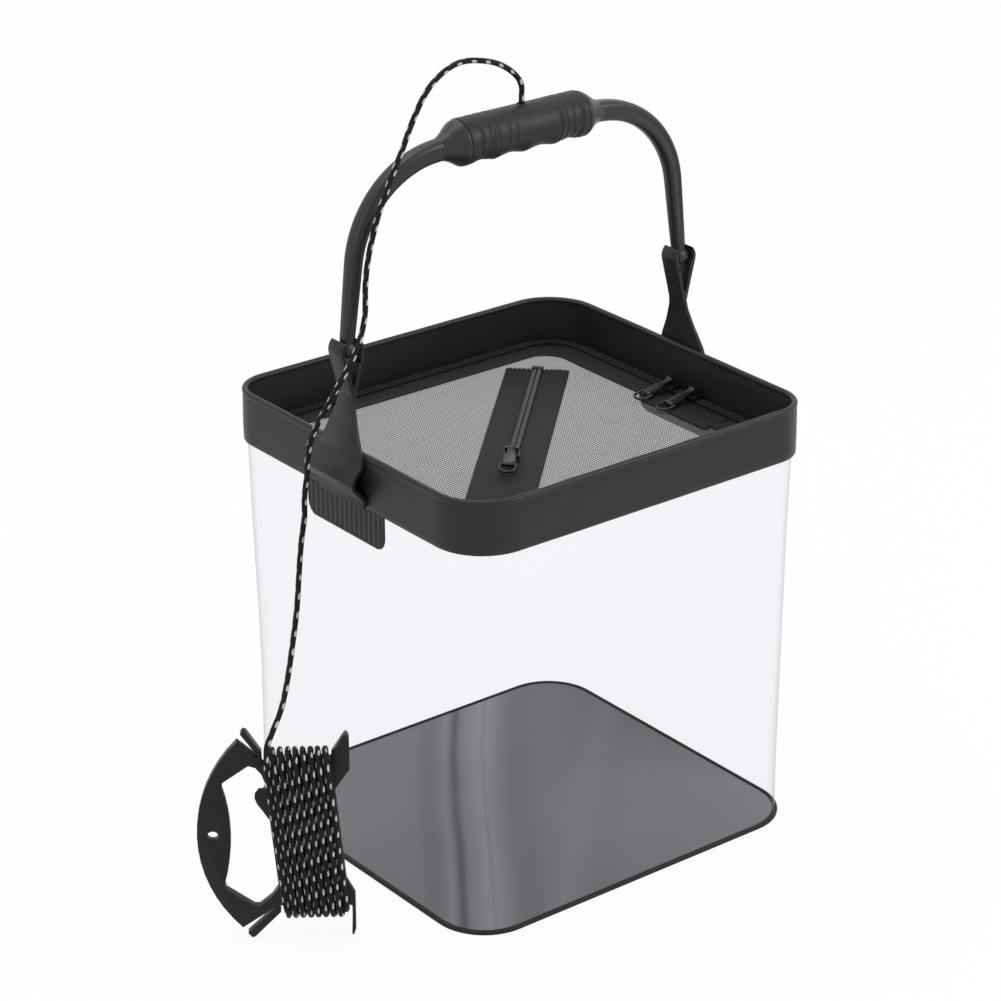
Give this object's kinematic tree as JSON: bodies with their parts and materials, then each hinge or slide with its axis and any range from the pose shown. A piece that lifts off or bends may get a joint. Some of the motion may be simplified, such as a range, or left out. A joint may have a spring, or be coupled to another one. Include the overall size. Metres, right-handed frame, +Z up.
{
  "type": "bait bucket",
  "caption": "Square clear film bait bucket with a stiff black rim, a recessed zipped net lid, a swing handle on two strap hangers, and a hand line wound on a flat winder.",
  "frame": {"origin": "middle of the underside, on the surface that the bucket stands on", "axes": "+X from the hanger with the hand line to the other hanger, +Y across the handle towards the side away from the viewer, +Z up"},
  "size_m": [0.3468, 0.217, 0.443],
  "materials": {
    "base_film": "glossy dark grey sheet",
    "welt": "soft black piping",
    "clear_film": "clear glossy film",
    "rim_skin": "satin black coated cloth",
    "hoop": "plain strip, hidden",
    "hanger_plastic": "satin black",
    "handle_plastic": "satin black",
    "grip": "satin black",
    "rope": "black braid with white flecks",
    "winder_plastic": "black",
    "lid_cloth": "black woven",
    "net": "fine grey net",
    "coil": "dark nylon coil",
    "zip_metal": "black enamel"
  },
  "bodies": {
    "bucket": {"base_panel": "base_film", "base_welt": "welt", "wall_sleeve": "clear_film", "rim_band": "rim_skin", "rim_hoop": "hoop", "lid_ledge": "lid_cloth", "edge_coil_outer": "coil", "weld_patch_left": "hanger_plastic", "weld_patch_right": "hanger_plastic", "hanger_left": "hanger_plastic", "hanger_right": "hanger_plastic", "rope_free": "rope", "rope_winding": "rope", "winder": "winder_plastic"},
    "handle": {"handle_bail": "handle_plastic", "handle_grip": "grip", "rope_knot": "rope"},
    "lid": {"lid_border": "lid_cloth", "lid_fold": "lid_cloth", "lid_net_left": "net", "lid_net_right": "net", "edge_coil_inner": "coil", "slider_garage": "lid_cloth", "centre_tape_left": "lid_cloth", "centre_tape_right": "lid_cloth", "centre_coil": "coil", "centre_stops": "coil"},
    "centre_slider": {"centre_slider": "zip_metal"},
    "centre_pull": {"centre_pull": "zip_metal", "centre_pull_ring": "zip_metal"},
    "back_slider": {"back_slider": "zip_metal"},
    "back_pull": {"back_pull": "zip_metal", "back_pull_ring": "zip_metal"},
    "front_slider": {"front_slider": "zip_metal"},
    "front_pull": {"front_pull": "zip_metal", "front_pull_ring": "zip_metal"}
  },
  "joints": [
    {"name": "handle_swing", "type": "hinge", "parent": "bucket", "child": "handle", "pos_m": [0, 0, 0.302], "axis": [1, 0, 0], "range_deg": [-110, 110], "deforming": ["rope_free"]},
    {"name": "lid_flap", "type": "hinge", "parent": "bucket", "child": "lid", "pos_m": [-0.1067, 0, 0.2236], "axis": [0, -1, 0], "range_deg": [-70, 0]},
    {"name": "centre_slide", "type": "slide", "parent": "lid", "child": "centre_slider", "axis": [0.7071, 0.7071, 0], "range_m": [0, 0.116]},
    {"name": "centre_pull_turn", "type": "hinge", "parent": "centre_slider", "child": "centre_pull", "pos_m": [-0.02192, -0.02192, 0.23], "axis": [-0.7071, 0.7071, 0], "range_deg": [0, 150]},
    {"name": "back_slide", "type": "slide", "parent": "bucket", "child": "back_slider", "axis": [0, 1, 0], "range_m": [0, 0.071]},
    {"name": "back_pull_turn", "type": "hinge", "parent": "back_slider", "child": "back_pull", "pos_m": [0.1067, -0.001, 0.23], "axis": [0, 1, 0], "range_deg": [0, 95]},
    {"name": "front_slide", "type": "slide", "parent": "bucket", "child": "front_slider", "axis": [0, -1, 0], "range_m": [0, 0.05]},
    {"name": "front_pull_turn", "type": "hinge", "parent": "front_slider", "child": "front_pull", "pos_m": [0.1067, -0.02, 0.23], "axis": [0, 1, 0], "range_deg": [0, 95]}
  ]
}
